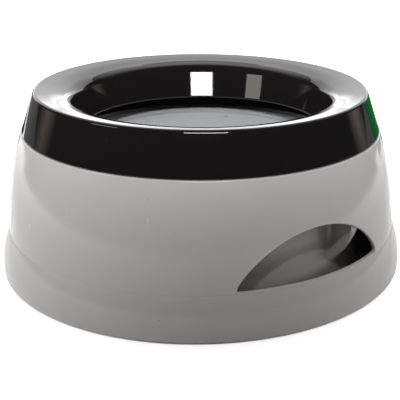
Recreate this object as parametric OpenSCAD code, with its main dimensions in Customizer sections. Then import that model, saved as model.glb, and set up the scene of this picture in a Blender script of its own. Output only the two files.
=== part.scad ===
// No spill water bowl: a bowl in a skirt, a splash ring that plugs on to it and a floating platform
// with a turnable flow valve. Origin at the centre of the foot, on the floor. +Z is up, and the two
// hand holes face -Y and +Y.

/* [Outer shell] */
// Widest diameter, at the foot collar
foot_d = 240; // [225:1:260]
// Height of the widest point of the collar
collar_waist_z = 4.3; // [3:0.1:8]
// Height of the crease where the collar meets the wall
crease_z = 24.3; // [20:0.1:30]
// Radius of the collar's bulge
collar_bulge_r = 46; // [36:1:70]
// Radius of the long curve of the wall, seen from the side
wall_curve_r = 270; // [220:5:400]
// How far the middle of the wall's curve lies below the crease
wall_low = 19.3; // [8:0.1:26]
// Height of the seat that the ring stands on
seat_z = 81.1; // [74:0.1:90]
// Thickness of the skirt and of the seat
shell_t = 2.8; // [2:0.1:3.4]
// Height of the underside of the bowl's floor, over the grip pads
floor_lift = 2; // [1:0.1:3]

/* [Inner bowl] */
// Thickness of the bowl's walls and floor
bowl_t = 3; // [2:0.1:3.4]
// Width of the seat, between the bowl's neck and the shell's edge
seat_w = 9.5; // [8:0.1:11]
// Height of the neck over the seat
neck_h = 8.9; // [7:0.1:11]
// How far the bowl's wall leans in from its neck to its foot
bowl_taper = 0.5; // [0.2:0.1:4]
// Width of the water trough between the bowl's wall and the middle island, at the floor
trough_w = 37.7; // [30:0.1:42]
// How far the island's wall leans in from its foot to its flat top
island_taper = 7.5; // [4:0.5:12]
// Height of the island's flat top
island_z = 44; // [38:0.5:48]

/* [Hand holes] */
// Half of the width of a hand hole at its foot
hand_half_w = 47.5; // [38:0.1:52]
// Height of a hand hole over its foot
hand_h = 27.4; // [20:0.1:32]
// Height of a hand hole's foot over the crease
hand_lift = 0.8; // [0.5:0.1:3]
// Radius of a hand hole's lower corners
hand_corner_r = 1.5; // [1:0.1:6]

/* [Webs] */
// Number of webs between the bowl and the skirt
web_count = 8; // [4:2:12]
// Angle of the first web from the hand hole at -Y
web_offset_a = 14.7; // [8:0.1:22]
// Thickness of a web
web_t = 2.4; // [1.6:0.1:3]
// Radius of the curved lower edge of a web
web_curve_r = 45; // [41:0.1:50]
// How far in from the foot's edge the middle of that curve lies
web_curve_in = 51.5; // [48:0.1:56]
// How far the middle of that curve lies below the seat
web_curve_drop = 24.4; // [20:0.1:28]

/* [Splash ring] */
// Height of the ring's band
band_h = 23; // [19:0.1:28]
// How far the band leans in from its lower to its upper edge
band_lean = 7.9; // [6.5:0.1:9]
// How far the band stands back from the shell's edge
band_step = 0.6; // [0.3:0.1:1.2]
// Width of the ring's top, from its outer edge to the lip that the dog drinks over
ring_top_w = 20.4; // [16:0.1:24]
// How far the lip lies below the ring's top edge
lip_drop = 4.5; // [2:0.1:6]
// Radius of the rolled lip
lip_roll_r = 9; // [5:0.1:11]
// Radius of the rounded edge between the ring's top and its band
top_roll_r = 4; // [2.5:0.1:6]
// How far the funnel leans in below the lip
funnel_lean = 5.9; // [4:0.1:9]
// Height of the funnel's wall below the lip
funnel_h = 20.3; // [16:0.1:24]
// Thickness of the ring's walls
ring_t = 2.4; // [1.8:0.1:2.8]
// Depth of the plug skirt below the seat
plug_depth = 11; // [8:0.5:12]
// Gap between the plug skirt's lower edge and the bowl's wall
plug_gap = 0.9; // [0.3:0.1:1.2]
// Height of the ring's lower edge over the seat
seat_gap = 0.3; // [0.2:0.1:0.5]

/* [Rim seal] */
// Height of the seal ring
seal_h = 2.6; // [2:0.1:4]
// Height of the seal's middle over the seat
seal_lift = 4; // [3:0.1:6]
// Gap between the seal and the neck
seal_gap = 0.3; // [0.2:0.1:0.5]
// Depth of the groove that holds the seal
seal_groove = 0.9; // [0.5:0.1:1.2]

/* [Platform] */
// Gap between the platform and the plug skirt
platform_gap = 3; // [2:0.1:5]
// Height of the platform's rim over the island
platform_h = 25.2; // [24:0.1:30]
// Depth of the dish below the rim
dish_drop = 2.4; // [1.5:0.1:4]
// How far the dish falls towards its middle
dish_fall = 4.2; // [2:0.1:6]
// Thickness of the platform's walls
platform_t = 2.2; // [1.6:0.1:2.6]
// Width of the platform's raised rim
rim_w = 6; // [4:0.5:9]
// How far the float's flat bottom ends inside the island's edge
float_inset = 6; // [4:0.5:10]
// Height of the small feet that the float stands on
float_foot_h = 2.2; // [1.5:0.1:3]
// Radius of a small foot
float_foot_r = 4; // [3:0.5:6]
// Gap between the small feet and the island
float_gap = 0.3; // [0.2:0.1:0.5]
// Inner radius of the water inlet tube
inlet_r = 14; // [12:0.5:16]

/* [Flow valve] */
// Radius of the valve's disc
valve_r = 20; // [18.5:0.5:23]
// Thickness of the valve's disc
valve_t = 1.8; // [1.4:0.1:2.4]
// Gap round and below the valve's disc
valve_gap = 0.4; // [0.3:0.1:0.6]
// Radius of the valve's pivot pin
pivot_r = 3; // [2.5:0.1:4]
// Gap between the pin and its bore
pivot_gap = 0.05; // [0.03:0.01:0.08]
// How far the water ports end inside the inlet tube
port_margin = 1.6; // [1:0.1:3]
// Angle that a water port spans
port_a = 40; // [30:1:44]
// Height of the valve's finger bar
grip_h = 5; // [3:0.1:7]

/* [Grip pads] */
// Diameter of a grip pad
pad_d = 26; // [18:0.5:28]
// Angle of the first grip pad from +X
pad_offset_a = 45; // [0:1:90]

/* [Hidden] */
$fn = 96;

// Steps in a small edge, in a larger rounded corner and in a long curve
edge_steps = 3;
corner_steps = 6;
curve_steps = 14;
// Roundings of edges and roots
edge_r = 0.8;
fine_edge_r = 0.4;
foot_edge_r = 1.3;
root_r = 1.5;
soft_r = 2;
// Share of a wall that the rounding of its free edge takes on each side
free_edge = 0.45;
// How far a cut runs past the faces that it opens
cut_over = 1;

// Step at the crease, and how far the two curves of the shell stop short of its edges
crease_step = 0.2;
foot_stop = 2.4;
seat_stop = 1.2;

// Outer shell
foot_r = foot_d / 2;
collar_c = [foot_r - collar_bulge_r, collar_waist_z];
crease_r = collar_c[0] + sqrt(pow(collar_bulge_r, 2) - pow(crease_z - collar_waist_z, 2)) - crease_step;
wall_c = [crease_r - sqrt(pow(wall_curve_r, 2) - pow(wall_low, 2)), crease_z - wall_low];
ledge_z = seat_z - shell_t;
neck_z = seat_z + neck_h;

// Inner bowl
floor_z = floor_lift + bowl_t;
neck_r = wall_r(seat_z) - seat_w;
neck_inner_r = neck_r - bowl_t;
bowl_foot_r = neck_r - bowl_taper;
island_foot_r = bowl_foot_r - trough_w;
island_top_r = island_foot_r - island_taper;
island_wall_t = bowl_t * sqrt(1 + pow(island_taper / (island_z - floor_z), 2));
basin_corner_r = 10;
bowl_heel_r = 2.5;
island_foot_round_r = 6;
island_edge_r = 4;

// Hand holes, arcs of a circle over a flat foot with short cheeks, cut up to just short of the neck
hand_cut_gap = 2.4;
hand_cut_y = neck_r + hand_cut_gap;
hand_cheek_h = 6;
hand_z = crease_z + hand_lift;
hand_arc_r = (pow(hand_half_w, 2) + pow(hand_h, 2)) / (2 * hand_h);
hand_arc_z = hand_z + hand_h - hand_arc_r;

// Webs
web_c = [foot_r - web_curve_in, seat_z - web_curve_drop];

// Splash ring
band_z = seat_z + seat_gap;
band_r = wall_r(seat_z) - band_step;
ring_top_z = band_z + band_h;
ring_top_r = band_r - band_lean;
lip_r = ring_top_r - ring_top_w;
lip_z = ring_top_z - lip_drop;
funnel_r = lip_r - funnel_lean;
funnel_z = lip_z - funnel_h;
plug_z = seat_z - plug_depth;
plug_r = bowl_inner_r(plug_z) - plug_gap;

// Rim seal
seal_z = seat_z + seal_lift;
seal_inner_r = plug_r - seal_groove;
seal_edge_r = 0.3;

// Platform
platform_r = plug_r - ring_t - platform_gap;
float_bottom_r = island_top_r - float_inset;
platform_bottom_z = island_z + float_gap + float_foot_h;
rim_z = island_z + platform_h;
dish_z = rim_z - dish_drop;
well_z = dish_z - dish_fall;
valve_seat_r = valve_r + valve_gap;
valve_seat_z = well_z - valve_t - valve_gap;
weld_step = 0.6;
weld_w = rim_w - weld_step;
weld_z = dish_z - platform_t - weld_step;
hub_z = valve_seat_z - platform_t;
dish_round_r = 5;
dish_under_r = 3;
well_lean = 1;
float_side_h = 4;
float_side_in = 3;
float_inner_step = 1;
float_round_r = 6;
float_inner_round_r = 4;
foot_count = 4;

// Flow valve
port_count = 4;
port_web = 2.6;
port_r = inlet_r - port_margin;
port_inner_r = pivot_r + port_web;
pin_tip_step = 0.2;
pin_head_step = 1.6;
grip_w = 3.4;
grip_margin = 1.5;

// Grip pads, centred on the flat ring of the bowl's floor
pad_place_r = (island_foot_r - bowl_t + bowl_foot_r - bowl_heel_r) / 2;

// Radius of a curve's right-hand side at a height, and of the wall's outer face
function side_r(c, r, z) = c[0] + sqrt(pow(r, 2) - pow(z - c[1], 2));

function wall_r(z) = side_r(wall_c, wall_curve_r, z);

// Radius of the bowl's inner face and of the island's wall at a height
function bowl_inner_r(z) = neck_inner_r - bowl_taper * (neck_z - z) / (neck_z - floor_z);

function island_r(z) = island_foot_r - island_taper * (z - floor_z) / (island_z - floor_z);

// Height of the underside of the ring's top at a radius
function ring_under_z(r) = lip_z - ring_t + lip_drop * (r - lip_r) / (ring_top_r - lip_r);

// Points of an arc, from one angle to another
function arc(c, r, a0, a1, steps) = [for (i = [0 : steps])
    let (a = a0 + (a1 - a0) * i / steps) c + r * [cos(a), sin(a)]];

// Points of a circle's arc between two heights, on its right-hand side
function side_arc(c, r, z0, z1, steps) =
    arc(c, r, asin((z0 - c[1]) / r), asin((z1 - c[1]) / r), steps);

// An outline from corners [x, z, r]: a corner with a radius becomes a round one
function outline(corners) = [for (i = [0 : len(corners) - 1])
    let (n = len(corners), p = corners[i], a = corners[(i + n - 1) % n], b = corners[(i + 1) % n])
    each (len(p) < 3 ? [p] : round_corner([a[0], a[1]], [p[0], p[1]], [b[0], b[1]], p[2]))];

function unit(v) = v / norm(v);

function turn(a) = a > 180 ? a - 360 : a < -180 ? a + 360 : a;

function round_corner(a, p, b, r) =
    let (u = unit(a - p), v = unit(b - p), half = acos(u * v) / 2,
         c = p + unit(u + v) * r / sin(half),
         s = p + u * r / tan(half) - c, e = p + v * r / tan(half) - c,
         a0 = atan2(s[1], s[0]), da = turn(atan2(e[1], e[0]) - a0))
    arc(c, r, a0, a0 + da, r > edge_r ? corner_steps : edge_steps);

// The whole section of the base: skirt, seat, neck, bowl wall, floor and island
module base_section() {
    inner_collar = collar_bulge_r - shell_t;
    inner_wall = wall_curve_r - shell_t;
    under_z = island_z - bowl_t;
    polygon(outline(concat(
        [[side_r(collar_c, inner_collar, 0), 0, edge_r],
         [side_r(collar_c, collar_bulge_r, 0), 0, foot_edge_r]],
        side_arc(collar_c, collar_bulge_r, foot_stop, crease_z, curve_steps),
        side_arc(wall_c, wall_curve_r, crease_z, seat_z - seat_stop, curve_steps),
        [[wall_r(seat_z), seat_z, edge_r], [neck_r, seat_z, edge_r],
         [neck_r, neck_z, edge_r], [neck_inner_r, neck_z, edge_r],
         [bowl_foot_r - bowl_t, floor_z, basin_corner_r], [island_foot_r, floor_z, island_foot_round_r],
         [island_top_r, island_z, island_edge_r], [0, island_z], [0, under_z],
         [island_r(under_z) - island_wall_t, under_z, soft_r],
         [island_r(floor_lift) - island_wall_t, floor_lift, edge_r],
         [bowl_foot_r, floor_lift, bowl_heel_r], [neck_r, ledge_z, root_r],
         [wall_r(ledge_z) - shell_t, ledge_z, root_r]],
        side_arc(wall_c, inner_wall, ledge_z - 2 * root_r, crease_z, curve_steps),
        side_arc(collar_c, inner_collar, crease_z - shell_t / 2, foot_stop, curve_steps))));
}

// The cut of one hand hole, drawn as seen from the front
module hand_hole_section() {
    a0 = asin((hand_z + hand_cheek_h - hand_arc_z) / hand_arc_r);
    polygon(outline(concat(
        [[-hand_half_w, hand_z, hand_corner_r], [hand_half_w, hand_z, hand_corner_r]],
        arc([0, hand_arc_z], hand_arc_r, a0, 180 - a0, 2 * curve_steps))));
}

// Between the middles of the bowl's wall and of the skirt, where the webs stand
module web_space_section() {
    polygon(concat(
        [[bowl_foot_r - bowl_t / 2, floor_z], [neck_r - bowl_t / 2, seat_z - shell_t / 2]],
        side_arc(wall_c, wall_curve_r - shell_t / 2, seat_z - shell_t / 2, crease_z, curve_steps),
        [[wall_r(crease_z) - shell_t / 2, floor_z]]));
}

module web() {
    intersection() {
        rotate_extrude() web_space_section();
        translate([web_c[0], 0, web_c[1]]) rotate([90, 0, 0])
            cylinder(r = web_curve_r, h = web_t, center = true);
    }
}

module base_bowl() color([0.57, 0.565, 0.56]) {
    difference() {
        rotate_extrude() base_section();
        for (side = [0, 180]) rotate([0, 0, side])
            translate([0, -hand_cut_y, 0]) rotate([90, 0, 0])
                linear_extrude(height = foot_r) hand_hole_section();
    }
    for (i = [0 : web_count - 1])
        rotate([0, 0, -90 + web_offset_a + 360 * i / web_count]) web();
}

module splash_ring() color([0.09, 0.09, 0.1]) {
    root_z = ring_under_z(plug_r);
    corner_r = ring_top_r - ring_t;
    rotate_extrude() difference() {
        polygon(outline([
            [band_r - ring_t, band_z, fine_edge_r], [band_r, band_z, fine_edge_r],
            [ring_top_r, ring_top_z, top_roll_r], [lip_r, lip_z, lip_roll_r],
            [funnel_r, funnel_z, ring_t * free_edge], [funnel_r + ring_t, funnel_z, ring_t * free_edge],
            [lip_r + ring_t, lip_z - ring_t, lip_roll_r - ring_t], [plug_r - ring_t, root_z, root_r],
            [plug_r - ring_t, plug_z, edge_r], [plug_r, plug_z, edge_r],
            [plug_r, root_z, edge_r], [corner_r, ring_under_z(corner_r), top_roll_r - ring_t]]));
        translate([seal_inner_r, seal_z - seal_h / 2]) square([2 * seal_groove, seal_h]);
    }
}

module rim_seal() color([0.16, 0.16, 0.17])
    rotate_extrude() polygon(outline([
        [seal_inner_r, seal_z - seal_h / 2], [plug_r, seal_z - seal_h / 2],
        [bowl_inner_r(seal_z) - seal_gap, seal_z, seal_edge_r],
        [plug_r, seal_z + seal_h / 2], [seal_inner_r, seal_z + seal_h / 2]]));

// The ports round the pivot, as wedges of a ring that run past a low and a high face
module ports(low, high) {
    for (i = [0 : port_count - 1]) rotate([0, 0, 360 * i / port_count])
        rotate_extrude(angle = port_a)
            translate([port_inner_r, low - cut_over])
                square([port_r - port_inner_r, high - low + 2 * cut_over]);
}

module platform_top() color([0.6, 0.61, 0.615]) difference() {
    hub_r = valve_seat_r + platform_t;
    rotate_extrude() difference() {
        polygon(outline([
            [0, valve_seat_z], [valve_seat_r, valve_seat_z], [valve_seat_r, well_z, fine_edge_r],
            [platform_r - rim_w, dish_z, dish_round_r], [platform_r - platform_t, rim_z, edge_r],
            [platform_r, rim_z, edge_r], [platform_r, weld_z], [platform_r - weld_w, weld_z],
            [platform_r - rim_w - platform_t, dish_z - platform_t, dish_under_r],
            [hub_r + well_lean, well_z - platform_t, soft_r], [hub_r, hub_z], [0, hub_z]]));
        translate([0, hub_z - cut_over]) square([pivot_r + pivot_gap, platform_t + 2 * cut_over]);
    }
    ports(hub_z, valve_seat_z);
}

module platform_float() color([0.55, 0.56, 0.565]) {
    side_z = weld_z - float_side_h;
    side_r = platform_r - float_side_in;
    inner_z = platform_bottom_z + platform_t;
    tube_r = inlet_r + platform_t;
    weld_r = platform_r - weld_step;
    rotate_extrude() polygon(outline([
        [inlet_r, platform_bottom_z, edge_r], [float_bottom_r, platform_bottom_z, float_round_r],
        [side_r, side_z, float_round_r], [weld_r, weld_z - platform_t, weld_step], [weld_r, weld_z],
        [platform_r - weld_w, weld_z], [side_r - platform_t, side_z + float_inner_step, soft_r],
        [float_bottom_r - float_inner_step, inner_z, float_inner_round_r], [tube_r, inner_z, root_r],
        [tube_r, hub_z], [inlet_r, hub_z]]));
    for (i = [0 : foot_count - 1]) rotate([0, 0, 360 * i / foot_count])
        translate([(float_bottom_r + inlet_r) / 2, 0, platform_bottom_z - float_foot_h])
            cylinder(r = float_foot_r, h = float_foot_h + platform_t / 2);
}

module flow_valve() color([0.5, 0.505, 0.51]) {
    low = well_z - valve_t;
    pin_low = hub_z - valve_gap;
    difference() {
        translate([0, 0, low]) cylinder(r = valve_r, h = valve_t);
        ports(low, well_z);
    }
    translate([0, 0, pin_low - valve_t])
        cylinder(r1 = pivot_r + pin_tip_step, r2 = pivot_r + pin_head_step, h = valve_t);
    translate([0, 0, pin_low]) cylinder(r = pivot_r, h = low - pin_low);
    translate([0, 0, well_z]) intersection() {
        cylinder(r = valve_r - grip_margin, h = grip_h);
        rotate([0, 0, (360 / port_count + port_a) / 2]) translate([-valve_r, -grip_w / 2, -valve_t / 2])
            cube([2 * valve_r, grip_w, grip_h + valve_t / 2]);
    }
}

module grip_pad(i) color([0.2, 0.2, 0.21])
    rotate([0, 0, pad_offset_a + 90 * i]) translate([pad_place_r, 0, 0])
        cylinder(d = pad_d, h = floor_lift);

module grip_pad_1() grip_pad(0);
module grip_pad_2() grip_pad(1);
module grip_pad_3() grip_pad(2);
module grip_pad_4() grip_pad(3);

base_bowl();
splash_ring();
rim_seal();
platform_top();
platform_float();
flow_valve();
grip_pad_1();
grip_pad_2();
grip_pad_3();
grip_pad_4();
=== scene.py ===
import math

import bmesh
import bpy
from mathutils import Matrix, Vector


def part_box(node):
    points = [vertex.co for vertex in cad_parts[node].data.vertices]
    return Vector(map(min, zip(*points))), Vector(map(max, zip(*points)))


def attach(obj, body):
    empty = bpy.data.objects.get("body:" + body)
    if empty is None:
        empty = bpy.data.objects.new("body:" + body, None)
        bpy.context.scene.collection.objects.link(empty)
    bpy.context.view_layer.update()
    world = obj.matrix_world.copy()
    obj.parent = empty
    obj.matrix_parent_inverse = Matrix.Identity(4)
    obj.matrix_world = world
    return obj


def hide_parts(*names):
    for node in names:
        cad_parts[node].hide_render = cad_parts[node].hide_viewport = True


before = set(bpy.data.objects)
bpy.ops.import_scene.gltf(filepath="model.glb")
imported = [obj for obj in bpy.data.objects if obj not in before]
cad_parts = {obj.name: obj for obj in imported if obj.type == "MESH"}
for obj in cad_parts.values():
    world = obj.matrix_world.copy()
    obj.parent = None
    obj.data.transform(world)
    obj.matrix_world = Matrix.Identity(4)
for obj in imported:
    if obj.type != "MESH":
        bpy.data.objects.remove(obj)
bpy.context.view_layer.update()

mm = 0.001

# The base bowl is one grey moulding in a hard, glossy plastic. Its skirt hangs from the seat of the
# ring, flares out at the foot and has two hand holes. The water bowl inside it stands on a raised
# floor with a middle island, and comes out of the same mould.
foot_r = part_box("base_bowl")[1].x
neck_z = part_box("base_bowl")[1].z
seat_z = 81.1 * mm
shell_t = 2.8 * mm
bowl_t = 3.0 * mm
collar_bulge = 46 * mm
collar_middle = (foot_r - collar_bulge, 4.3 * mm)
wall_bulge = 270 * mm
wall_middle = (-154.09 * mm, 5 * mm)
crease_z = 24.3 * mm
ledge_z = seat_z - shell_t
floor_low = 2 * mm
floor_z = floor_low + bowl_t
island_z = 44 * mm
shell_columns = 256
hand_rows = 18
hand_half_w = 47.5 * mm
hand_h = 27.4 * mm
hand_z = crease_z + 0.8 * mm
hand_corner = 1.5 * mm
hand_edge = 0.8 * mm
hand_inside = (0, 36 * mm)
hand_block = 28


def arc(middle, radius, start, end, steps):
    """Points (r, z) of an arc with their outward normals, for an outline with its solid on the left."""
    side = 1 if end > start else -1
    turns = [start + (end - start) * i / steps for i in range(steps + 1)]
    return [(middle[0] + radius * math.cos(a), middle[1] + radius * math.sin(a),
             side * math.cos(a), side * math.sin(a)) for a in turns]


def side_arc(middle, radius, heights):
    """Points of an arc's right-hand side at the given heights, with their outward normals."""
    side = 1 if heights[-1] > heights[0] else -1
    turns = [math.asin((z - middle[1]) / radius) for z in heights]
    return [(middle[0] + radius * math.cos(a), middle[1] + radius * math.sin(a),
             side * math.cos(a), side * math.sin(a)) for a in turns]


def spread(first, last, steps):
    """Evenly spread values from the first to the last."""
    return [first + (last - first) * i / steps for i in range(steps + 1)]


def rounded(corners, steps=7):
    """An outline from corners (r, z, radius). Points that already have a normal pass through."""
    points = []
    for i, corner in enumerate(corners):
        if len(corner) == 4:
            points.append(corner)
            continue
        here = Vector(corner[:2])
        back = (Vector(corners[i - 1][:2]) - here).normalized()
        ahead = (Vector(corners[(i + 1) % len(corners)][:2]) - here).normalized()
        half = back.angle(ahead) / 2
        middle = here + (back + ahead).normalized() * corner[2] / math.sin(half)
        first = here + back * corner[2] / math.tan(half) - middle
        last = here + ahead * corner[2] / math.tan(half) - middle
        start = math.atan2(first.y, first.x)
        sweep = math.remainder(math.atan2(last.y, last.x) - start, 2 * math.pi)
        points += arc(middle, corner[2], start, start + sweep, steps)
    return points


def turned(outline, columns, cut=lambda column, row: False):
    """Turns an outline round the Z axis. Returns its points, normals, faces and the grid of point numbers."""
    points, normals, faces, grid = [], [], [], []
    for row, (r, z, across, up) in enumerate(outline):
        line = []
        for column in range(columns if r > 0 else 1):
            a = 2 * math.pi * column / columns
            points.append(Vector((r * math.sin(a), -r * math.cos(a), z)))
            normals.append(Vector((across * math.sin(a), -across * math.cos(a), up)))
            line.append(len(points) - 1)
        grid.append(line if r > 0 else line * columns)
    for row in range(len(outline)):
        above = (row + 1) % len(outline)
        if outline[row][0] == 0 and outline[above][0] == 0:
            continue
        for column in range(columns):
            if cut(column, row):
                continue
            beside = (column + 1) % columns
            ring = [grid[row][column], grid[row][beside], grid[above][beside], grid[above][column]]
            faces.append(list(dict.fromkeys(ring)))
    return points, normals, faces, grid


def rim(grid, columns, low_row, high_row, first, last):
    """Point numbers round a block of the grid, anticlockwise as seen from outside."""
    step = 1 if high_row > low_row else -1
    rows = list(range(low_row, high_row + step, step))
    across = [c % columns for c in range(first, last + 1)]
    return ([grid[low_row][c] for c in across] + [grid[r][across[-1]] for r in rows[1:]]
            + [grid[high_row][c] for c in reversed(across[:-1])]
            + [grid[r][across[0]] for r in reversed(rows[1:-1])])


def edge_ahead(opening, middle, ray):
    """How far a ray from the middle of an opening goes to its outline, and the outline's normal there."""
    nearest = None
    for i, a in enumerate(opening):
        b = opening[(i + 1) % len(opening)]
        along = Vector((b[0] - a[0], b[1] - a[1]))
        cross = ray.x * along.y - ray.y * along.x
        if abs(cross) < 1e-14:
            continue
        off = Vector((a[0] - middle[0], a[1] - middle[1]))
        reach = (off.x * along.y - off.y * along.x) / cross
        share = (off.x * ray.y - off.y * ray.x) / cross
        if reach > 0 and -1e-6 <= share <= 1 + 1e-6 and (nearest is None or reach < nearest[0]):
            out = Vector((a[2] + (b[2] - a[2]) * share, a[3] + (b[3] - a[3]) * share)).normalized()
            nearest = (reach, out)
    return nearest


def window(mesh, rims, axes, depths, normals_at, opening, middle, edge):
    """Cuts an opening with rounded edges through two faces of a turned wall, inside two equal rims."""
    points, normals, faces, _ = mesh
    u_axis, v_axis, through = axes
    columns = []
    for here, there in zip(*rims):
        u, v = points[here].dot(u_axis), points[here].dot(v_axis)
        back_u, back_v = points[there].dot(u_axis), points[there].dot(v_axis)
        ray = Vector((u - middle[0], v - middle[1])).normalized()
        reach, out = edge_ahead(opening, middle, ray)
        edge_u, edge_v = middle[0] + ray.x * reach, middle[1] + ray.y * reach
        lip_u, lip_v = edge_u + out.x * edge, edge_v + out.y * edge
        inward = -(u_axis * out.x + v_axis * out.y)
        place = []
        for share in (0.4, 0.7, 0.88, 1):
            a, b = u + (lip_u - u) * share, v + (lip_v - v) * share
            place.append((u_axis * a + v_axis * b + through * depths[0](a, b), normals_at[0](a, b)))
        front = u_axis * lip_u + v_axis * lip_v + through * (depths[0](lip_u, lip_v) + edge)
        rear = u_axis * lip_u + v_axis * lip_v + through * (depths[1](lip_u, lip_v) - edge)
        before, behind = place[-1][1], normals_at[1](lip_u, lip_v)
        for a in spread(0, math.pi / 2, 4)[1:]:
            place.append((front + (inward * math.sin(a) - through * math.cos(a)) * edge,
                          inward * math.sin(a) + before * math.cos(a)))
        for a in spread(math.pi / 2, 0, 4)[:-1]:
            place.append((rear + (inward * math.sin(a) + through * math.cos(a)) * edge,
                          inward * math.sin(a) + behind * math.cos(a)))
        for share in (1, 0.88, 0.7, 0.4):
            a, b = back_u + (lip_u - back_u) * share, back_v + (lip_v - back_v) * share
            place.append((u_axis * a + v_axis * b + through * depths[1](a, b), normals_at[1](a, b)))
        first_new = len(points)
        points += [point for point, _ in place]
        normals += [normal for _, normal in place]
        columns.append([here, *range(first_new, len(points)), there])
    rows = list(zip(*columns))
    for row, inner in zip(rows, rows[1:]):
        for k in range(len(row)):
            n = (k + 1) % len(row)
            faces.append([row[k], row[n], inner[n], inner[k]])


def finished(name, mesh, material, body, slot, *nodes):
    """Makes the object of a turned mesh, with its exact normals, and hangs it on its body."""
    points, normals, faces, _ = mesh
    data = bpy.data.meshes.new(name)
    data.from_pydata([tuple(p) for p in points], [], faces)
    data.shade_smooth()
    data.normals_split_custom_set_from_vertices([tuple(n.normalized()) for n in normals])
    data.materials.append(material)
    piece = bpy.data.objects.new(name, data)
    bpy.context.scene.collection.objects.link(piece)
    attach(piece, body)
    if nodes:
        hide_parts(*nodes)
    return piece


def wall_r(z, inset=0):
    """Radius of the skirt's outer face at a height, or of a face inside it."""
    return wall_middle[0] + math.sqrt((wall_bulge - inset) ** 2 - (z - wall_middle[1]) ** 2)


neck_r = wall_r(seat_z) - 9.5 * mm
bowl_foot_r = neck_r - 0.5 * mm
island_foot_r = bowl_foot_r - 37.7 * mm
island_top_r = island_foot_r - 7.5 * mm
hand_heights = spread(crease_z, hand_z + hand_h + 4 * mm, hand_rows)
collar_outer = side_arc(collar_middle, collar_bulge, spread(2.4 * mm, crease_z, 12))
wall_outer = side_arc(wall_middle, wall_bulge,
                      hand_heights + spread(hand_heights[-1], seat_z - 1.2 * mm, 8)[1:])
wall_inner = side_arc(wall_middle, wall_bulge - shell_t,
                      spread(ledge_z - 3 * mm, hand_heights[-1], 6)[:-1] + hand_heights[::-1])
collar_inner = side_arc(collar_middle, collar_bulge - shell_t, spread(crease_z - 1 * mm, 2.4 * mm, 10))
foot = rounded([collar_inner[-1], (foot_r - shell_t - 0.2 * mm, 0, 0.8 * mm),
                (foot_r - 0.2 * mm, 0, 1.3 * mm), collar_outer[0]])[1:-1]
seat_and_neck = rounded([wall_outer[-1], (wall_r(seat_z), seat_z, 0.7 * mm), (neck_r, seat_z, 0.8 * mm),
                         (neck_r, neck_z, 0.8 * mm), (neck_r - bowl_t, neck_z, 0.8 * mm),
                         (bowl_foot_r - bowl_t, floor_z, 10 * mm), (island_foot_r, floor_z, 6 * mm),
                         (island_top_r, island_z, 4 * mm), (0, island_z, 0, 1)], steps=9)[1:]
underside = rounded([(0, island_z - bowl_t, 0, -1), (island_top_r - 2.2 * mm, island_z - bowl_t, 2 * mm),
                     (island_foot_r - 2.7 * mm, floor_low, 0.8 * mm), (bowl_foot_r, floor_low, 2.5 * mm),
                     (neck_r, ledge_z, 1.5 * mm), (wall_r(ledge_z) - shell_t, ledge_z, 1.5 * mm),
                     wall_inner[0]])[:-1]
shell_outline = foot + collar_outer + wall_outer + seat_and_neck + underside + wall_inner + collar_inner
outer_low = len(foot) + len(collar_outer)
outer_high = outer_low + hand_rows
inner_low = len(shell_outline) - len(collar_inner) - 1
inner_high = inner_low - hand_rows
hand_reach = round(hand_block / 360 * shell_columns)
hand_columns = (0, shell_columns // 2)


def in_hand_block(column, row):
    """Whether a face of the skirt lies in a block that a hand hole takes up."""
    near = any((column - middle + hand_reach) % shell_columns < 2 * hand_reach for middle in hand_columns)
    return near and (outer_low <= row < outer_high or inner_high <= row < inner_low)


hand_arc = (hand_half_w ** 2 + hand_h ** 2) / (2 * hand_h)
hand_middle = hand_z + hand_h - hand_arc
spring = math.asin((hand_z + 6 * mm - hand_middle) / hand_arc)
hand_opening = rounded([(-hand_half_w, hand_z, hand_corner), (hand_half_w, hand_z, hand_corner)]
                       + arc((0, hand_middle), hand_arc, spring, math.pi - spring, 40))
shell = turned(shell_outline, shell_columns, in_hand_block)
for middle_column, facing in zip(hand_columns, (1, -1)):
    span = (middle_column - hand_reach, middle_column + hand_reach)
    rims = (rim(shell[3], shell_columns, outer_low, outer_high, *span),
            rim(shell[3], shell_columns, inner_low, inner_high, *span))
    axes = (Vector((facing, 0, 0)), Vector((0, 0, 1)), Vector((0, facing, 0)))

    def face_depth(inset):
        return lambda x, z: -math.sqrt(wall_r(z, inset) ** 2 - x ** 2)

    def face_normal(inset, side, facing=facing):
        def normal(x, z):
            r = wall_r(z, inset)
            lean = math.asin((z - wall_middle[1]) / (wall_bulge - inset))
            level = Vector((x, -math.sqrt(r ** 2 - x ** 2), 0)) / r * facing * math.cos(lean)
            return (level + Vector((0, 0, math.sin(lean)))) * side
        return normal

    window(shell, rims, axes, (face_depth(0), face_depth(shell_t)),
           (face_normal(0, 1), face_normal(shell_t, -1)), hand_opening, hand_inside, hand_edge)


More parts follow.
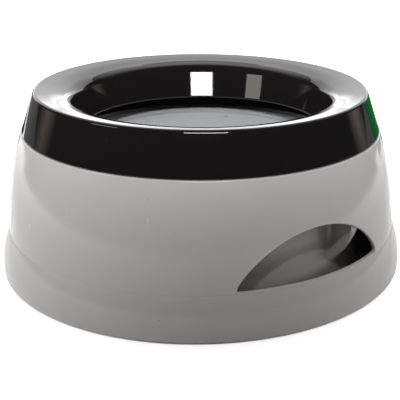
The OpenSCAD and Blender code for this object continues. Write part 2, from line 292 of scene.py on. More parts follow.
def moulded_plastic(name, colour, gloss, wear):
    """Hard moulded plastic: a faint flow of tone, fine uneven gloss, hairline scratches and small specks."""
    material = bpy.data.materials.new(name)
    material.use_nodes = True
    nodes, links = material.node_tree.nodes, material.node_tree.links
    surface = nodes["Principled BSDF"]
    surface.inputs["IOR"].default_value = 1.5
    place = nodes.new("ShaderNodeTexCoord").outputs["Object"]

    def noise(scale, detail, source=place):
        node = nodes.new("ShaderNodeTexNoise")
        node.inputs["Scale"].default_value = scale
        node.inputs["Detail"].default_value = detail
        links.new(source, node.inputs["Vector"])
        return node.outputs["Fac"]

    def between(value, low, high, to_low, to_high):
        node = nodes.new("ShaderNodeMapRange")
        for socket, number in zip(("From Min", "From Max", "To Min", "To Max"), (low, high, to_low, to_high)):
            node.inputs[socket].default_value = number
        links.new(value, node.inputs["Value"])
        return node.outputs["Result"]

    def combined(operation, a, b):
        node = nodes.new("ShaderNodeMath")
        node.operation = operation
        for socket, value in zip(node.inputs, (a, b)):
            if isinstance(value, (int, float)):
                socket.default_value = value
            else:
                links.new(value, socket)
        return node.outputs[0]

    stretched = nodes.new("ShaderNodeMapping")
    stretched.inputs["Scale"].default_value = (1, 1, 0.09)
    stretched.inputs["Rotation"].default_value = (0.3, 0.2, 0)
    links.new(place, stretched.inputs["Vector"])
    lines = between(noise(420, 2, stretched.outputs["Vector"]), 0.71, 0.74, 0, 1)
    patches = between(noise(24, 2), 0.5, 0.62, 0, 1)
    scratches = combined("MULTIPLY", lines, patches)
    specks = nodes.new("ShaderNodeTexVoronoi")
    specks.inputs["Scale"].default_value = 130
    links.new(place, specks.inputs["Vector"])
    dots = combined("MULTIPLY", between(specks.outputs["Distance"], 0.05, 0.09, 1, 0),
                    between(noise(60, 0), 0.62, 0.66, 0, 1))
    tone = nodes.new("ShaderNodeMix")
    tone.data_type = "RGBA"
    tone.inputs["A"].default_value = [c * 0.965 for c in colour] + [1]
    tone.inputs["B"].default_value = [min(1, c * 1.035) for c in colour] + [1]
    links.new(noise(38, 4), tone.inputs["Factor"])
    marked = nodes.new("ShaderNodeMix")
    marked.data_type = "RGBA"
    links.new(tone.outputs["Result"], marked.inputs["A"])
    marked.inputs["B"].default_value = [min(1, c * 1.6 + 0.05) for c in colour] + [1]
    links.new(combined("MULTIPLY", scratches, 0.12 * wear), marked.inputs["Factor"])
    speckled = nodes.new("ShaderNodeMix")
    speckled.data_type = "RGBA"
    links.new(marked.outputs["Result"], speckled.inputs["A"])
    speckled.inputs["B"].default_value = [c * 0.45 for c in colour] + [1]
    links.new(combined("MULTIPLY", dots, 0.3 * wear), speckled.inputs["Factor"])
    links.new(speckled.outputs["Result"], surface.inputs["Base Color"])
    uneven = between(noise(55, 3), 0.3, 0.7, gloss * 0.85, gloss * 1.2)
    roughness = combined("ADD", uneven, combined("MULTIPLY", scratches, 0.2 * wear))
    links.new(roughness, surface.inputs["Roughness"])
    skin = nodes.new("ShaderNodeBump")
    skin.inputs["Strength"].default_value = 0.04
    skin.inputs["Distance"].default_value = 0.0002
    links.new(noise(340, 3), skin.inputs["Height"])
    links.new(skin.outputs["Normal"], surface.inputs["Normal"])
    return material


grey_plastic = moulded_plastic("grey_shell_plastic", (0.315, 0.305, 0.3), 0.14, 1.0)
finished("bowl_shell", shell, grey_plastic, "base", "grey_shell", "base_bowl")


# Thin webs tie the water bowl to the skirt. They are part of the same moulding, hang from the seat and
# end in a curved lower edge, high enough for fingers to pass under them.
web_count = 8
first_web = math.radians(14.7)
web_t = 2.4 * mm
web_fillet = 2 * mm
web_bulge = 45 * mm
web_middle = (foot_r - 51.5 * mm, seat_z - 24.4 * mm)


def plain_piece(name, points, faces):
    """A piece that is smooth but for its sharp edges."""
    piece = bpy.data.objects.new(name, bpy.data.meshes.new(name))
    piece.data.from_pydata([tuple(p) for p in points], [], faces)
    piece.data.shade_smooth()
    piece.data.set_sharp_from_angle(angle=math.radians(40))
    bpy.context.scene.collection.objects.link(piece)
    return piece


def round_copies(name, piece, count, first, material):
    """Copies a piece evenly round the Z axis with Geometry Nodes and returns the plain mesh."""
    tree = bpy.data.node_groups.new(name + "_copies", "GeometryNodeTree")
    for label, kind, way in (("Piece", "NodeSocketGeometry", "INPUT"), ("Count", "NodeSocketInt", "INPUT"),
                             ("First angle", "NodeSocketFloat", "INPUT"),
                             ("Finish", "NodeSocketMaterial", "INPUT"),
                             ("Copies", "NodeSocketGeometry", "OUTPUT")):
        tree.interface.new_socket(label, in_out=way, socket_type=kind)
    nodes, links = tree.nodes, tree.links
    given, made = nodes.new("NodeGroupInput"), nodes.new("NodeGroupOutput")
    spots, copies = nodes.new("GeometryNodePoints"), nodes.new("GeometryNodeInstanceOnPoints")
    number, share = nodes.new("GeometryNodeInputIndex"), nodes.new("ShaderNodeMath")
    angle, turn = nodes.new("ShaderNodeMath"), nodes.new("ShaderNodeCombineXYZ")
    solid, finish = nodes.new("GeometryNodeRealizeInstances"), nodes.new("GeometryNodeSetMaterial")
    share.operation = "DIVIDE"
    angle.operation = "MULTIPLY_ADD"
    angle.inputs[1].default_value = 2 * math.pi
    for start, end in ((given.outputs["Count"], spots.inputs["Count"]),
                       (spots.outputs[0], copies.inputs["Points"]),
                       (given.outputs["Piece"], copies.inputs["Instance"]),
                       (number.outputs[0], share.inputs[0]),
                       (given.outputs["Count"], share.inputs[1]),
                       (share.outputs[0], angle.inputs[0]),
                       (given.outputs["First angle"], angle.inputs[2]),
                       (angle.outputs[0], turn.inputs["Z"]),
                       (turn.outputs[0], copies.inputs["Rotation"]),
                       (copies.outputs[0], solid.inputs[0]),
                       (solid.outputs[0], finish.inputs["Geometry"]),
                       (given.outputs["Finish"], finish.inputs["Material"]),
                       (finish.outputs[0], made.inputs[0])):
        links.new(start, end)
    modifier = piece.modifiers.new("copies", "NODES")
    modifier.node_group = tree
    names = {item.name: item.identifier for item in tree.interface.items_tree if item.in_out == "INPUT"}
    modifier[names["Count"]] = count
    modifier[names["First angle"]] = first
    modifier[names["Finish"]] = material
    bpy.context.view_layer.update()
    depsgraph = bpy.context.evaluated_depsgraph_get()
    data = bpy.data.meshes.new_from_object(piece.evaluated_get(depsgraph))
    copied = bpy.data.objects.new(name, data)
    bpy.context.scene.collection.objects.link(copied)
    bpy.data.objects.remove(piece)
    return copied


def fillet(gap):
    """How much thicker the web gets at a distance from the wall that it grows out of."""
    near = min(max(gap, 0), web_fillet)
    return web_fillet - math.sqrt(web_fillet ** 2 - (web_fillet - near) ** 2)


def skirt_middle(z):
    """Radius of the middle of the skirt's wall at a height."""
    return wall_r(z, shell_t / 2)


web_inner = neck_r - bowl_t / 2
web_top = seat_z - shell_t / 2
web_start = -math.acos((web_inner - web_middle[0]) / web_bulge)
web_end = web_start
while (web_middle[0] + web_bulge * math.cos(web_end)
       < skirt_middle(web_middle[1] + web_bulge * math.sin(web_end))):
    web_end += math.radians(0.25)
web_columns = 28
web_points, web_faces = [], []
for a in spread(web_start, web_end, web_columns):
    out = Vector((math.cos(a), math.sin(a)))
    edge = Vector(web_middle) + out * web_bulge
    half = web_t / 2 + fillet(edge.x - neck_r) + fillet(wall_r(edge.y, shell_t) - edge.x)
    core = edge - out * web_t / 2
    share = (core.x - web_inner) / (skirt_middle(core.y) - web_inner)
    side = []
    for z in spread(web_top, core.y, 16)[:-1]:
        r = web_inner + share * (skirt_middle(z) - web_inner)
        side.append((web_t / 2 + fillet(r - neck_r) + fillet(wall_r(z, shell_t) - r), -r, z))
    for turn in spread(0, math.pi / 2, 5):
        down = core + out * math.sin(turn) * web_t / 2
        side.append((half * math.cos(turn), -down.x, down.y))
    web_points += side + [(-x, y, z) for x, y, z in side[-2::-1]]
ring = len(web_points) // (web_columns + 1)
for column in range(web_columns):
    for k in range(ring):
        n = (k + 1) % ring
        here, there = column * ring, (column + 1) * ring
        web_faces.append((here + k, here + n, there + n, there + k))
web_faces += [tuple(range(ring))[::-1], tuple(web_columns * ring + k for k in range(ring))]
web = plain_piece("web", web_points, web_faces)
webs = round_copies("bowl_webs", web, web_count, first_web, grey_plastic)
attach(webs, "base")


# Four round rubber pads are stuck under the bowl's floor, so that it doesn't slide. Each has rounded
# edges and rings of grip grooves on the side that meets the floor.
pad_r = 13 * mm
pad_place = (island_foot_r - bowl_t + bowl_foot_r - 2.5 * mm) / 2
groove_radii = (10.5 * mm, 8 * mm, 5.5 * mm, 3 * mm)
groove_depth = 0.5 * mm
groove_round = 0.12 * mm


def soft_rubber(name, colour):
    """Dark soft rubber: matt, with a fine even grain and a little dust."""
    material = bpy.data.materials.new(name)
    material.use_nodes = True
    nodes, links = material.node_tree.nodes, material.node_tree.links
    surface = nodes["Principled BSDF"]
    surface.inputs["Roughness"].default_value = 0.62
    place = nodes.new("ShaderNodeTexCoord").outputs["Object"]
    grain, dust = nodes.new("ShaderNodeTexNoise"), nodes.new("ShaderNodeTexNoise")
    grain.inputs["Scale"].default_value = 1600
    dust.inputs["Scale"].default_value = 90
    dust.inputs["Detail"].default_value = 5
    tone, bump = nodes.new("ShaderNodeMix"), nodes.new("ShaderNodeBump")
    tone.data_type = "RGBA"
    tone.inputs["A"].default_value = [c * 0.85 for c in colour] + [1]
    tone.inputs["B"].default_value = [c * 1.3 for c in colour] + [1]
    bump.inputs["Strength"].default_value = 0.25
    bump.inputs["Distance"].default_value = 0.0002
    for start, end in ((place, grain.inputs["Vector"]),
                       (place, dust.inputs["Vector"]),
                       (dust.outputs["Fac"], tone.inputs["Factor"]),
                       (tone.outputs["Result"], surface.inputs["Base Color"]),
                       (grain.outputs["Fac"], bump.inputs["Height"]),
                       (bump.outputs["Normal"], surface.inputs["Normal"])):
        links.new(start, end)
    return material


pad_rubber = soft_rubber("pad_rubber", (0.035, 0.035, 0.037))
grooves = []
for groove_r in groove_radii:
    grooves += [(groove_r + 0.5 * mm, 0, groove_round), (groove_r + 0.2 * mm, groove_depth, groove_round),
                (groove_r - 0.2 * mm, groove_depth, groove_round), (groove_r - 0.5 * mm, 0, groove_round)]
pad_outline = rounded([(0, 0, 0, -1)] + grooves[::-1]
                      + [(pad_r, 0, 0.5 * mm), (pad_r, floor_low, 0.3 * mm), (0, floor_low, 0, 1)], steps=3)
pad_mesh = turned(pad_outline, 64)
for point in pad_mesh[0]:
    point.y -= pad_place
pad = plain_piece("pad", pad_mesh[0], pad_mesh[2])
pads = round_copies("grip_pads", pad, 4, math.radians(45), pad_rubber)
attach(pads, "base")
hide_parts("grip_pad_1", "grip_pad_2", "grip_pad_3", "grip_pad_4")


# The float is the closed lower shell of the platform, a thin grey moulding welded under the disc. The
# inlet tube in its middle lets water up to the valve, and four small feet keep it off the island.
platform_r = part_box("platform_top")[1].x
rim_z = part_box("platform_top")[1].z
platform_t = 2.2 * mm
rim_w = 6 * mm
dish_z = rim_z - 2.4 * mm
well_z = dish_z - 4.2 * mm
valve_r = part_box("flow_valve")[1].x
valve_t = 1.8 * mm
valve_gap = 0.4 * mm
valve_seat_z = well_z - valve_t - valve_gap
hub_z = valve_seat_z - platform_t
weld_z = dish_z - platform_t - 0.6 * mm
inlet_r = 14 * mm
float_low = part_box("platform_float")[0].z
float_floor = float_low + 2.2 * mm
float_bottom_r = island_top_r - 6 * mm
float_foot_r = 4 * mm
float_foot_top = float_floor + 0.5 * mm
platform_columns = 256

platform_plastic = moulded_plastic("grey_platform_plastic", (0.32, 0.33, 0.335), 0.3, 0.5)
float_outline = rounded([
    (inlet_r, float_floor, 0.8 * mm), (float_bottom_r, float_floor, 6 * mm),
    (platform_r - 3 * mm, weld_z - 4 * mm, 6 * mm), (platform_r - 0.6 * mm, weld_z - platform_t, 0.6 * mm),
    (platform_r - 0.6 * mm, weld_z, 0.05 * mm), (platform_r - rim_w + 0.6 * mm, weld_z, 0.05 * mm),
    (platform_r - 3 * mm - platform_t, weld_z - 3 * mm, 2 * mm),
    (float_bottom_r - 1 * mm, float_floor + platform_t, 4 * mm),
    (inlet_r + platform_t, float_floor + platform_t, 1.5 * mm), (inlet_r + platform_t, hub_z, 0.05 * mm),
    (inlet_r, hub_z, 0.05 * mm)])
finished("float_shell", turned(float_outline, platform_columns), platform_plastic,
         "platform", "grey_platform", "platform_float")
foot_outline = rounded([(0, float_low, 0, -1), (float_foot_r, float_low, 0.6 * mm),
                        (float_foot_r, float_foot_top, 0.1 * mm), (0, float_foot_top, 0, 1)], steps=4)
foot_mesh = turned(foot_outline, 32)
for point in foot_mesh[0]:
    point.x += (float_bottom_r + inlet_r) / 2
float_foot = plain_piece("float_foot", foot_mesh[0], foot_mesh[2])
float_feet = round_copies("float_feet", float_foot, 4, 0, platform_plastic)
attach(float_feet, "platform")


# The platform's top is the shallow grey dish that the dog licks from. It has a raised rim and a sunk
# seat with four ports in the middle, and is welded to the float.
port_outer = inlet_r - 1.6 * mm
port_inner = 5.6 * mm
port_count = 4
first_port = math.radians(20)
port_span = math.radians(40)
port_margin = math.radians(9)
port_block = (4.3 * mm, port_outer + 1.2 * mm)
bore_r = 3.05 * mm


def port_opening():
    """The outline of one port, with its middle on the U axis."""
    half = port_span / 2
    corner = 0.8 * mm
    outer = arc((0, 0), port_outer, -half + 0.1, half - 0.1, 8)
    inner = [(x, y, -a, -b) for x, y, a, b in arc((0, 0), port_inner, -half + 0.2, half - 0.2, 5)][::-1]
    low = (port_inner * math.cos(half), -port_inner * math.sin(half), corner)
    far = (port_outer * math.cos(half), -port_outer * math.sin(half), corner)
    other_side = [(far[0], -far[1], corner), (low[0], -low[1], corner)]
    return rounded([low, far] + outer + other_side + inner, steps=4)


def with_ports(outline, columns, top, bottom):
    """A turned piece with the four ports cut through its flat middle, between two heights."""
    rows = {}
    for row, (r, z, _, up) in enumerate(outline):
        for k, block_r in enumerate(port_block):
            if abs(r - block_r) < 1e-9:
                rows[(k, up > 0)] = row
    spans = []
    reach = port_span / 2 + port_margin
    for k in range(port_count):
        middle = math.pi / 2 + first_port + 2 * math.pi * k / port_count
        spans.append([round(a / (2 * math.pi) * columns) for a in (middle - reach, middle + reach)])

    def in_port_block(column, row):
        for upper in (True, False):
            low, high = sorted((rows[(0, upper)], rows[(1, upper)]))
            if low <= row < high:
                return any((column - a) % columns < b - a for a, b in spans)
        return False

    mesh = turned(outline, columns, in_port_block)
    for k, span in enumerate(spans):
        a = first_port + 2 * math.pi * k / port_count
        axes = (Vector((math.cos(a), math.sin(a), 0)), Vector((-math.sin(a), math.cos(a), 0)),
                Vector((0, 0, -1)))
        rims = (rim(mesh[3], columns, rows[(1, True)], rows[(0, True)], *span),
                rim(mesh[3], columns, rows[(1, False)], rows[(0, False)], *span))
        window(mesh, rims, axes, (lambda u, v: -top, lambda u, v: -bottom),
               (lambda u, v: Vector((0, 0, 1)), lambda u, v: Vector((0, 0, -1))), port_opening(),
               ((port_inner + port_outer) / 2 + 0.6 * mm, 0), 0.25 * mm)
    return mesh


valve_seat_r = valve_r + valve_gap
dish_outline = rounded([
    (port_block[1], valve_seat_z, 0, 1), (port_block[0], valve_seat_z, 0, 1),
    (bore_r, valve_seat_z, 0.25 * mm),
    (bore_r, hub_z, 0.25 * mm), (port_block[0], hub_z, 0, -1), (port_block[1], hub_z, 0, -1),
    (valve_seat_r + platform_t, hub_z, 0.4 * mm),
    (valve_seat_r + platform_t + 1 * mm, well_z - platform_t, 1.5 * mm),
    (platform_r - rim_w - platform_t, dish_z - platform_t, 3 * mm),
    (platform_r - rim_w + 0.6 * mm, weld_z, 0.2 * mm),
    (platform_r, weld_z, 0.4 * mm), (platform_r, rim_z, 0.9 * mm), (platform_r - platform_t, rim_z, 0.9 * mm),
    (platform_r - rim_w, dish_z, 6 * mm), (valve_seat_r, well_z, 0.5 * mm),
    (valve_seat_r, valve_seat_z, 0.3 * mm)], steps=8)
finished("drinking_dish", with_ports(dish_outline, platform_columns, valve_seat_z, hub_z),
         platform_plastic, "platform", "grey_platform", "platform_top")


# The flow valve is a small turnable disc, clipped into the middle of the platform by its pin. Its four
# ports uncover those of the platform as it turns, and a finger bar stands on it.
pivot_r = 3 * mm
valve_top = well_z
valve_low = well_z - valve_t
head_top = hub_z - valve_gap
bar_t = 3.4 * mm
bar_h = 5.6 * mm
bar_turn = math.radians(65)
valve_plastic = moulded_plastic("valve_plastic", (0.22, 0.225, 0.23), 0.35, 0.4)
valve_outline = rounded([
    (0, head_top - valve_t, 0, -1), (pivot_r + 0.2 * mm, head_top - valve_t, 0.3 * mm),
    (pivot_r + 1.6 * mm, head_top, 0.15 * mm), (pivot_r, head_top, 0.05 * mm), (pivot_r, valve_low, 0.1 * mm),
    (port_block[0], valve_low, 0, -1), (port_block[1], valve_low, 0, -1), (valve_r, valve_low, 0.3 * mm),
    (valve_r, valve_top, 0.4 * mm), (port_block[1], valve_top, 0, 1), (port_block[0], valve_top, 0, 1),
    (0, valve_top, 0, 1)], steps=5)
finished("flow_valve_disc", with_ports(valve_outline, 128, valve_top, valve_low), valve_plastic,
         "valve", "grey_valve", "flow_valve")
grip = bmesh.new()
bmesh.ops.create_cube(grip, size=1)
bmesh.ops.scale(grip, vec=(2 * (valve_r - 1.5 * mm), bar_t, bar_h), verts=grip.verts)
long_edges = [e for e in grip.edges if abs(e.verts[0].co.x - e.verts[1].co.x) > valve_r]
bmesh.ops.subdivide_edges(grip, edges=long_edges, cuts=14)
for v in grip.verts:
    if v.co.z > 0:
        v.co.z -= 2.6 * mm * (abs(v.co.x) / valve_r) ** 3
        v.co.y *= 0.8
    v.co.y *= 1 - 0.35 * math.cos(v.co.x / valve_r * math.pi / 2) ** 2
upright = [e for e in grip.edges if e.calc_face_angle(0) > math.radians(40)]
bmesh.ops.bevel(grip, geom=upright, offset=0.6 * mm, segments=4, affect="EDGES", profile=0.5)
bmesh.ops.rotate(grip, cent=(0, 0, 0), matrix=Matrix.Rotation(bar_turn, 3, "Z"), verts=grip.verts)
bmesh.ops.translate(grip, vec=(0, 0, valve_top + 2.2 * mm), verts=grip.verts)
grip_data = bpy.data.meshes.new("finger_bar")
grip.to_mesh(grip_data)
grip.free()
grip_data.shade_smooth()
grip_data.materials.append(valve_plastic)
finger_bar = bpy.data.objects.new("finger_bar", grip_data)
bpy.context.scene.collection.objects.link(finger_bar)
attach(finger_bar, "valve")


# The splash ring is one moulding in a high gloss black plastic. A conical band stands on the seat, a
# gently domed top rolls over the lip into the funnel, and a plug skirt goes into the neck. The skirt's inside
# has painted shade: a matt, nearly unreflecting black that keeps the deep gap under the funnel dark.
ring_low, ring_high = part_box("splash_ring")
band_z = seat_z + 0.3 * mm
ring_top_z = band_z + 23 * mm
band_r = ring_high.x
ring_top_r = band_r - 7.9 * mm
ring_t = 2.4 * mm
ring_top_w = 20.4 * mm
lip_drop = 4.5 * mm
lip_r = ring_top_r - ring_top_w
lip_z = ring_top_z - lip_drop
crown_r = ring_top_r - 11 * mm
crown_z = ring_top_z - 1.5 * mm
funnel_r = lip_r - 5.9 * mm
funnel_z = lip_z - 20.3 * mm
plug_z = ring_low.z
plug_r = neck_r - bowl_t - 0.9 * mm - 0.5 * mm * (neck_z - plug_z) / (neck_z - floor_z)
seal_z = seat_z + 4 * mm
seal_h = 2.6 * mm
groove_r = plug_r - 0.9 * mm
root_z = lip_z - ring_t + (plug_r - lip_r) * lip_drop / (ring_top_r - lip_r)

black_plastic = moulded_plastic("black_ring_plastic", (0.0045, 0.004, 0.0042), 0.045, 0.6)
ring_outline = rounded([
    (band_r - ring_t, band_z, 0.4 * mm), (band_r, band_z, 0.4 * mm), (ring_top_r, ring_top_z, 2 * mm),
    (crown_r, crown_z, 50 * mm), (lip_r, lip_z, 8 * mm),
    (funnel_r, funnel_z, 1.08 * mm), (funnel_r + ring_t, funnel_z, 1.08 * mm),
    (lip_r + ring_t, lip_z - ring_t, 6.6 * mm), (plug_r - ring_t, root_z, 1.5 * mm),
    (plug_r - ring_t, plug_z, 0.8 * mm), (plug_r, plug_z, 0.8 * mm),
    (plug_r, seal_z - seal_h / 2, 0.1 * mm), (groove_r, seal_z - seal_h / 2, 0.1 * mm),
    (groove_r, seal_z + seal_h / 2, 0.1 * mm), (plug_r, seal_z + seal_h / 2, 0.1 * mm),
    (plug_r, root_z, 0.8 * mm), (ring_top_r - ring_t, root_z + ring_t / 5, 1.6 * mm)], steps=14)
splash_ring = finished("black_splash_ring", turned(ring_outline, 320), black_plastic,
                       "ring", "black_gloss", "splash_ring")
# Painted shade: the inside of the plug skirt gets a matt black that hardly reflects, so the deep gap under
# the funnel stays dark.
painted_shade_black = moulded_plastic("painted_shade_black_plastic", (0.003, 0.003, 0.003), 0.7, 0.2)
painted_shade_black.node_tree.nodes["Principled BSDF"].inputs["Specular IOR Level"].default_value = 0.08
splash_ring.data.materials.append(painted_shade_black)
for face in splash_ring.data.polygons:
    inward = -face.center.xy.normalized().dot(face.normal.xy)
    if inward > 0.5 and face.center.z < root_z + 1 * mm and face.center.xy.length > plug_r - ring_t - 1 * mm:
        face.material_index = 1


# The rim seal is a soft rubber ring with one lip, snapped into the groove of the plug skirt. It grips
# the neck of the bowl and keeps water in.
seal_rubber = soft_rubber("seal_rubber", (0.02, 0.02, 0.021))
seal_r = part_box("rim_seal")[1].x
seal_outline = rounded([
    (groove_r, seal_z - seal_h / 2, 0.1 * mm), (plug_r, seal_z - seal_h / 2, 0.15 * mm),
    (seal_r, seal_z, 0.35 * mm),
    (plug_r, seal_z + seal_h / 2, 0.15 * mm), (groove_r, seal_z + seal_h / 2, 0.1 * mm)], steps=5)
finished("neck_seal", turned(seal_outline, 256), seal_rubber, "ring", "seal_rubber", "rim_seal")


# The camera stands a little above the bowl, 31.8 degrees round from the hand hole. Its place, lens and
# aim come from the perspective of the photograph, which is a crop from the left of a wider frame.
eye_turn = math.radians(-31.8)
eye_roll = 0.0228
eye_distance = 0.505
eye_height = 0.2207
aim_right = 0.0459
aim_height = 0.032
eye = Vector((math.sin(eye_turn), -math.cos(eye_turn), 0)) * eye_distance + Vector((0, 0, eye_height))
aim = Vector((math.cos(eye_turn), math.sin(eye_turn), 0)) * aim_right + Vector((0, 0, aim_height))
ahead = (aim - eye).normalized()
level = ahead.cross(Vector((0, 0, 1))).normalized()
camera = bpy.data.objects.new("camera", bpy.data.cameras.new("camera"))
camera.data.lens = 78.67
camera.data.sensor_width = 36
camera.data.shift_x = -0.196
camera.data.clip_start = 0.01
camera.location = eye
camera.rotation_euler = (Matrix.Rotation(eye_roll, 3, -ahead)
                         @ Matrix((level, level.cross(ahead), -ahead)).transposed()).to_euler()
bpy.context.scene.collection.objects.link(camera)
bpy.context.scene.camera = camera


# The studio is a white table in a dark room. Softboxes at its sides, a lit panel behind, and a small lamp
# and two spots in front light the bowl. Cards that no lamp lights are what the glossy plastic mirrors.
def around(turn, lift, distance, height=0.06):
    """A point of the studio, by its angle right of the camera, its angle over the table and its distance."""
    a, e = eye_turn + math.radians(turn), math.radians(lift)
    out = Vector((math.sin(a) * math.cos(e), -math.cos(a) * math.cos(e), math.sin(e)))
    return out * distance + Vector((0, 0, height))


def lamp(name, kind, place, power, target=Vector((0, 0, 0.06)), wide=0.1, high=0.1):
    """A lamp of the studio, turned towards the bowl."""
    light = bpy.data.objects.new(name, bpy.data.lights.new(name, kind))
    if kind == "AREA":
        light.data.shape = "RECTANGLE"
        light.data.size = wide
        light.data.size_y = high
    light.data.energy = power
    light.location = place
    light.rotation_mode = "QUATERNION"
    light.rotation_quaternion = (target - place).to_track_quat("-Z", "Y")
    bpy.context.scene.collection.objects.link(light)
    return light


def card(name, points, faces, colour, strength, fade=None):
    """A card that only glossy surfaces see. Its glow can fade out, and what lies behind adds to it."""
    data = bpy.data.meshes.new(name)
    data.from_pydata([tuple(p) for p in points], [], faces)
    material = bpy.data.materials.new(name)
    material.use_nodes = True
    nodes, links = material.node_tree.nodes, material.node_tree.links
    nodes.remove(nodes["Principled BSDF"])
    glow = nodes.new("ShaderNodeEmission")
    glow.inputs["Color"].default_value = (*colour, 1)
    glow.inputs["Strength"].default_value = strength
    links.new(glow.outputs[0], nodes["Material Output"].inputs["Surface"])
    if fade:
        data.attributes.new("fade", "FLOAT", "POINT").data.foreach_set("value", fade)
        share, level = nodes.new("ShaderNodeAttribute"), nodes.new("ShaderNodeMath")
        share.attribute_name = "fade"
        level.operation = "MULTIPLY"
        level.inputs[1].default_value = strength
        links.new(share.outputs["Fac"], level.inputs[0])
        links.new(level.outputs[0], glow.inputs["Strength"])
        clear, both = nodes.new("ShaderNodeBsdfTransparent"), nodes.new("ShaderNodeAddShader")
        links.new(glow.outputs[0], both.inputs[0])
        links.new(clear.outputs[0], both.inputs[1])
        links.new(both.outputs[0], nodes["Material Output"].inputs["Surface"])
    data.materials.append(material)
    piece = bpy.data.objects.new(name, data)
    bpy.context.scene.collection.objects.link(piece)
    piece.visible_camera = False
    piece.visible_diffuse = False
    piece.visible_shadow = False
    piece.visible_transmission = False
    return piece


def patch(name, turns, lifts, distance, colour, strength, soft=0):
    """A card between two angles round the bowl and two angles over the table, with hard or soft edges."""
    steps = 16
    points = [around(turn, lift, distance)
              for lift in spread(*lifts, steps) for turn in spread(*turns, steps)]
    corners = [row * (steps + 1) + k for row in range(steps) for k in range(steps)]
    faces = [(k, k + 1, k + steps + 2, k + steps + 1) for k in corners]
    edge = [min(1, min(k, steps - k) / (steps * soft)) if soft else 1 for k in range(steps + 1)]
    fade = [a * b for a in edge for b in edge] if soft else None
    return card(name, points, faces, colour, strength, fade)


def table_card(name, turns, distances, strength):
    """A dim card that lies on the table, between two angles and two distances."""
    steps = 40
    height = 0.001
    points = [around(turn, 0, d, height) for d in distances for turn in spread(*turns, steps)]
    faces = [(k, k + 1, k + steps + 2, k + steps + 1) for k in range(steps)]
    return card(name, points, faces, (1, 1, 1), strength)


def light_path(nodes, links):
    """1 where the camera looks, or a mirror or clear plastic shows what is there."""
    path = nodes.new("ShaderNodeLightPath")
    either, both = nodes.new("ShaderNodeMath"), nodes.new("ShaderNodeMath")
    either.operation = both.operation = "MAXIMUM"
    links.new(path.outputs["Is Camera Ray"], either.inputs[0])
    links.new(path.outputs["Is Glossy Ray"], either.inputs[1])
    links.new(either.outputs[0], both.inputs[0])
    links.new(path.outputs["Is Transmission Ray"], both.inputs[1])
    return both.outputs[0]


def white_table():
    """A white table with a soft shadow round the foot. Mirrors see it glow further off."""
    material = bpy.data.materials.new("floor_white")
    material.use_nodes = True
    nodes, links = material.node_tree.nodes, material.node_tree.links
    white = nodes["Principled BSDF"]
    white.inputs["Base Color"].default_value = (0.8, 0.8, 0.8, 1)
    white.inputs["Roughness"].default_value = 0.9
    white.inputs["Specular IOR Level"].default_value = 0
    white.inputs["Emission Color"].default_value = (1, 1, 1, 1)
    place, away = nodes.new("ShaderNodeTexCoord"), nodes.new("ShaderNodeVectorMath")
    away.operation = "LENGTH"
    links.new(place.outputs["Object"], away.inputs[0])

    def by_distance(near, far, near_level, far_level):
        node = nodes.new("ShaderNodeMapRange")
        for socket, number in zip(("From Min", "From Max", "To Min", "To Max"),
                                  (near, far, near_level, far_level)):
            node.inputs[socket].default_value = number
        links.new(away.outputs["Value"], node.inputs["Value"])
        return node.outputs["Result"]

    def combined(operation, a, b):
        node = nodes.new("ShaderNodeMath")
        node.operation = operation
        links.new(a, node.inputs[0])
        links.new(b, node.inputs[1])
        return node.outputs[0]

    beyond = nodes.new("ShaderNodeMath")
    beyond.operation = "GREATER_THAN"
    beyond.inputs[1].default_value = foot_r
    links.new(away.outputs["Value"], beyond.inputs[0])
    looked_at = nodes.new("ShaderNodeLightPath").outputs["Is Camera Ray"]
    view = combined("MULTIPLY", by_distance(0.12, 0.2, 0.45, 1), looked_at)
    glow = combined("MAXIMUM", by_distance(0.3, 0.6, 0, 1), view)
    seen = combined("MULTIPLY", glow, light_path(nodes, links))
    links.new(combined("MULTIPLY", seen, beyond.outputs[0]), white.inputs["Emission Strength"])
    return material


floor_reach = 4
floor_data = bpy.data.meshes.new("floor")
floor_data.from_pydata([(-floor_reach, -floor_reach, 0), (floor_reach, -floor_reach, 0),
                        (floor_reach, floor_reach, 0), (-floor_reach, floor_reach, 0)], [], [[0, 1, 2, 3]])
floor_data.materials.append(white_table())
floor = bpy.data.objects.new("floor", floor_data)
bpy.context.scene.collection.objects.link(floor)

room_r = 2.5
room_columns = 60
room_lifts = (0, 12, 26, 46, 68, 89)
room_points = [around(360 * k / room_columns - 180, lift, room_r, 0)
               for lift in room_lifts for k in range(room_columns)]
room_faces = [(row * room_columns + k, row * room_columns + (k + 1) % room_columns,
               (row + 1) * room_columns + (k + 1) % room_columns, (row + 1) * room_columns + k)
              for row in range(len(room_lifts) - 1) for k in range(room_columns)]
card("dark_room", room_points, room_faces, (0.03, 0.03, 0.03), 1)

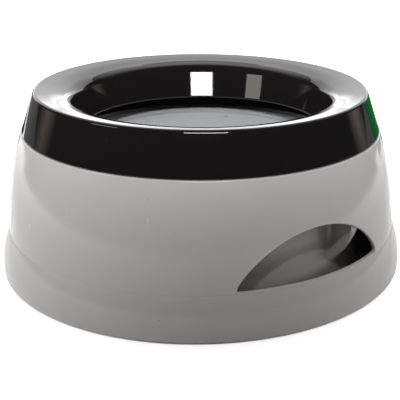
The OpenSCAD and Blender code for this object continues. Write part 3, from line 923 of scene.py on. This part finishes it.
# What the bowl mirrors: a dim table all round, brighter cards behind it, two softboxes in the funnel, and
# a green card and two warm room cards at the ends of the black band. The card on the table's edge is
# dark for the bowl's matt light too, and keeps the table's own brightness off the walls.
table_card("table_edge", (-120, 120), (0.45, 3), 0.03).visible_diffuse = True
table_card("rear_table", (140, 220), (0.13, 0.52), 0.06)
table_card("far_table", (120, 240), (0.58, 3.9), 0.22)
patch("horizon_card", (130, 230), (-2, 13), 2.3, (1, 1, 1), 3.8, 0.5)
patch("upper_back_card", (100, 260), (32, 84), 1.4, (1, 1, 1), 1.8, 0.35)
patch("key_softbox", (-10.5, 13.5), (24.6, 32), 0.32, (1, 1, 1), 30)
patch("second_softbox", (-66.5, -49), (21.2, 30.5), 0.325, (1, 0.95, 0.9), 4)
patch("green_card", (121.5, 150), (-7, 5), 0.345, (0.02, 0.3, 0.07), 0.8)
patch("left_room_card", (-126, -104), (-4, 14), 1.6, (1, 0.86, 0.74), 0.6, 0.5)
patch("right_room_card", (106, 128), (-4, 14), 1.6, (1, 0.86, 0.74), 0.8, 0.5)

left_softbox = lamp("left_softbox", "AREA", around(-98, 15, 0.9), 8.3, wide=1.1, high=0.2)
right_softbox = lamp("right_softbox", "AREA", around(100, 15, 0.9), 7.75, wide=1.1, high=0.2)
front_fill = lamp("front_fill", "AREA", around(-50, 40, 0.9), 1.9, wide=0.3, high=0.3)
lamp("back_panel", "AREA", around(180, 26, 1.2), 6.85, wide=2.0, high=0.7)
front_spot = lamp("front_spot", "SPOT", around(0, 44, 0.9), 30, target=around(0, 0, -0.03, 0.16))
high_spot = lamp("high_spot", "SPOT", around(0, 60, 0.9), 20.7, target=around(0, 0, -0.03, 0.15))
for spot in (front_spot, high_spot):
    spot.data.shadow_soft_size = 0.05
    spot.data.spot_size = math.radians(25.2)
    spot.data.spot_blend = 0.5
for hidden in (left_softbox, right_softbox, front_fill, front_spot, high_spot):
    hidden.visible_glossy = False

world = bpy.data.worlds.new("studio_surround")
bpy.context.scene.world = world
world.use_nodes = True
nodes, links = world.node_tree.nodes, world.node_tree.links
level = nodes.new("ShaderNodeMapRange")
level.inputs["To Min"].default_value = 0.15
level.inputs["To Max"].default_value = 1
links.new(light_path(nodes, links), level.inputs["Value"])
links.new(level.outputs["Result"], nodes["Background"].inputs["Strength"])
nodes["Background"].inputs["Color"].default_value = (1, 1, 1, 1)
bpy.context.scene.view_settings.view_transform = "Standard"
